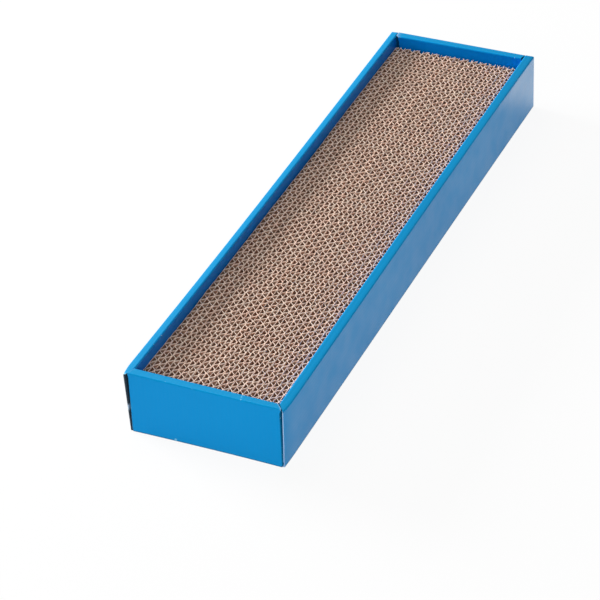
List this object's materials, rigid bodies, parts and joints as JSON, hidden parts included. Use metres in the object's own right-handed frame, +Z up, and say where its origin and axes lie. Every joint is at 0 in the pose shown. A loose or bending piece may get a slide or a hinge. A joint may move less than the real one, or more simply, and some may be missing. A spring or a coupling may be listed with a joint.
{
  "type": "cardboard cat scratcher",
  "caption": "Long low folded board tray with roll-over double walls, holding a loose corrugated cardboard scratching pad that lifts out.",
  "frame": {"origin": "middle of the underside of the tray, on the surface that it stands on", "axes": "+Y along the length towards the back end, +X across the width towards the right wall, +Z up"},
  "size_m": [0.1256, 0.4976, 0.05],
  "materials": {
    "printed_board": "blue print with a satin varnish on thin corrugated board",
    "kraft_board": "raw brown corrugated board, sawn edges up"
  },
  "bodies": {
    "tray": {"bottom_panel": "printed_board", "left_outer_panel": "printed_board", "left_rim": "printed_board", "left_inner_panel": "printed_board", "right_outer_panel": "printed_board", "right_rim": "printed_board", "right_inner_panel": "printed_board", "front_outer_panel": "printed_board", "front_rim": "printed_board", "front_inner_panel": "printed_board", "back_outer_panel": "printed_board", "back_rim": "printed_board", "back_inner_panel": "printed_board", "front_left_flap": "printed_board", "front_right_flap": "printed_board", "back_left_flap": "printed_board", "back_right_flap": "printed_board"},
    "pad": {"strip_01": "kraft_board", "strip_02": "kraft_board", "strip_03": "kraft_board", "strip_04": "kraft_board", "strip_05": "kraft_board", "strip_06": "kraft_board", "strip_07": "kraft_board", "strip_08": "kraft_board", "strip_09": "kraft_board", "strip_10": "kraft_board", "strip_11": "kraft_board", "strip_12": "kraft_board", "strip_13": "kraft_board", "strip_14": "kraft_board", "strip_15": "kraft_board", "strip_16": "kraft_board", "strip_17": "kraft_board", "strip_18": "kraft_board", "strip_19": "kraft_board", "strip_20": "kraft_board", "strip_21": "kraft_board", "strip_22": "kraft_board", "strip_23": "kraft_board", "strip_24": "kraft_board", "strip_25": "kraft_board", "strip_26": "kraft_board", "strip_27": "kraft_board", "strip_28": "kraft_board"}
  },
  "joints": [
    {"name": "pad_lift", "type": "slide", "parent": "tray", "child": "pad", "axis": [0, 0, 1], "range_m": [0, 0.06]}
  ]
}
